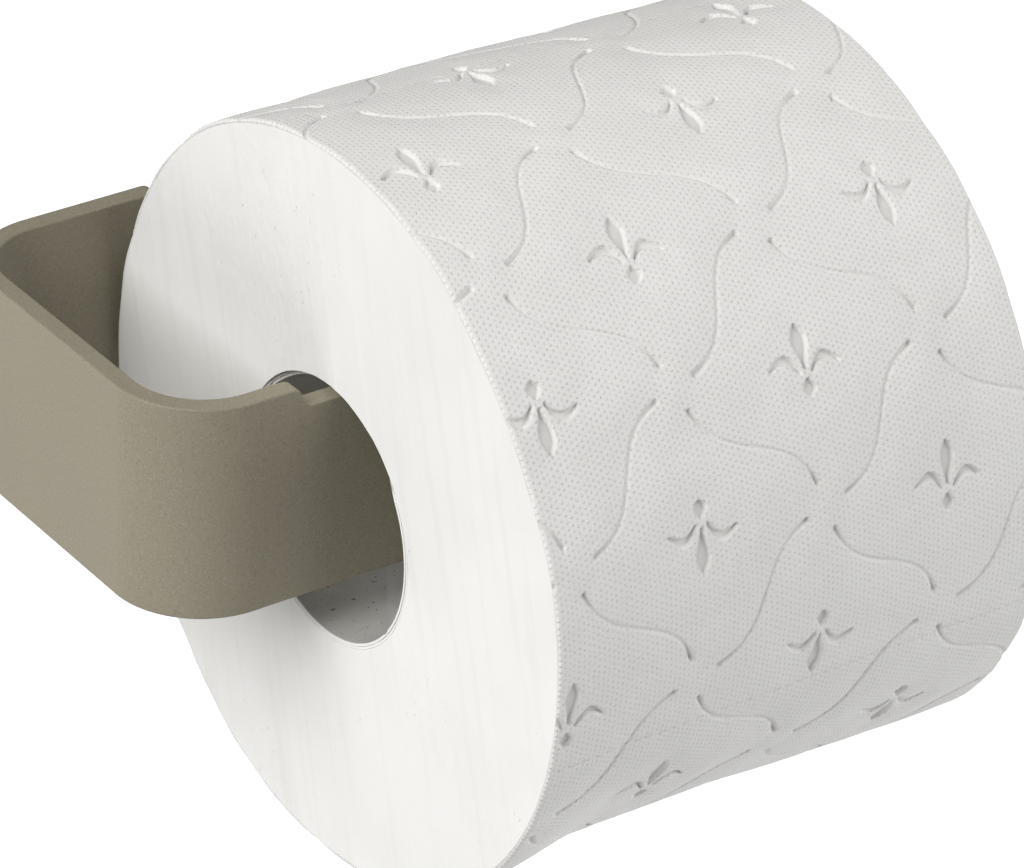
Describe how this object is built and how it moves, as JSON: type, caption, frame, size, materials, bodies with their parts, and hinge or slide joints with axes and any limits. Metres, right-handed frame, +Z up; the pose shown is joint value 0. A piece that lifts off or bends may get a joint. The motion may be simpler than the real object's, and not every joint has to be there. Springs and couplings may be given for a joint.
{
  "type": "toilet paper holder",
  "caption": "Wall-mounted toilet paper holder bent from one flat coated strip, open at one end, with a paper roll hanging from the saddle in its arm.",
  "frame": {"origin": "on the wall, midway between the two screws", "axes": "+Y into the wall, +Z up, +X along the arm towards its free end"},
  "size_m": [0.1363, 0.1553, 0.1246],
  "materials": {
    "powder_coat": "fine matte powder coat",
    "zinc_screw": "bright zinc plate",
    "plug_nylon": "moulded nylon",
    "core_card": "uncoated grey board",
    "tissue": "soft embossed tissue"
  },
  "bodies": {
    "holder": {"holder_strip": "powder_coat", "wall_screw_left": "zinc_screw", "wall_screw_right": "zinc_screw", "wall_plug_left": "plug_nylon", "wall_plug_right": "plug_nylon"},
    "core": {"core_inner_ply": "core_card", "core_outer_ply": "core_card"},
    "paper": {"paper_winding": "tissue", "outer_sheet_1": "tissue", "outer_sheet_2": "tissue", "outer_sheet_3": "tissue"}
  },
  "joints": [
    {"name": "roll_lift", "type": "slide", "parent": "holder", "child": "core", "axis": [0, 0, 1], "range_m": [0, 0.0078]},
    {"name": "roll_spin", "type": "hinge", "parent": "core", "child": "paper", "pos_m": [0, -0.0662, -0.00588], "axis": [1, 0, 0], "continuous": true}
  ]
}
